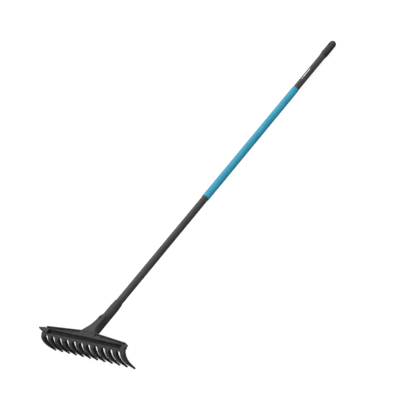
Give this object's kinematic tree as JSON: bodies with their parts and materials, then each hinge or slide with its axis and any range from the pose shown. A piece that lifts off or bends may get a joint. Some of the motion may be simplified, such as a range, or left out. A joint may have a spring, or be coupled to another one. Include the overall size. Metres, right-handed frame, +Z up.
{
  "type": "leaf rake",
  "caption": "Long-handled leaf rake: a straight tube handle with grip sleeve and capped end, and a wide head of curved tines.",
  "frame": {"origin": "centre of the bounding box's footprint, on the ground that the tine tips and the end cap lie on", "axes": "+Y from the head towards the grip end, +Z up, +X across the head; the rake lies tines down"},
  "size_m": [0.414, 1.7074, 0.1015],
  "materials": {
    "head_plastic": "fine moulded texture",
    "tube_coating": "satin powder coat",
    "sleeve_plastic": "semi-gloss",
    "cap_plastic": "fine moulded texture",
    "screw_steel": "blackened, satin"
  },
  "bodies": {
    "root": {"rake_head": "head_plastic", "handle_tube": "tube_coating", "grip_sleeve": "sleeve_plastic", "end_cap": "cap_plastic", "fixing_screw": "screw_steel"}
  },
  "joints": []
}
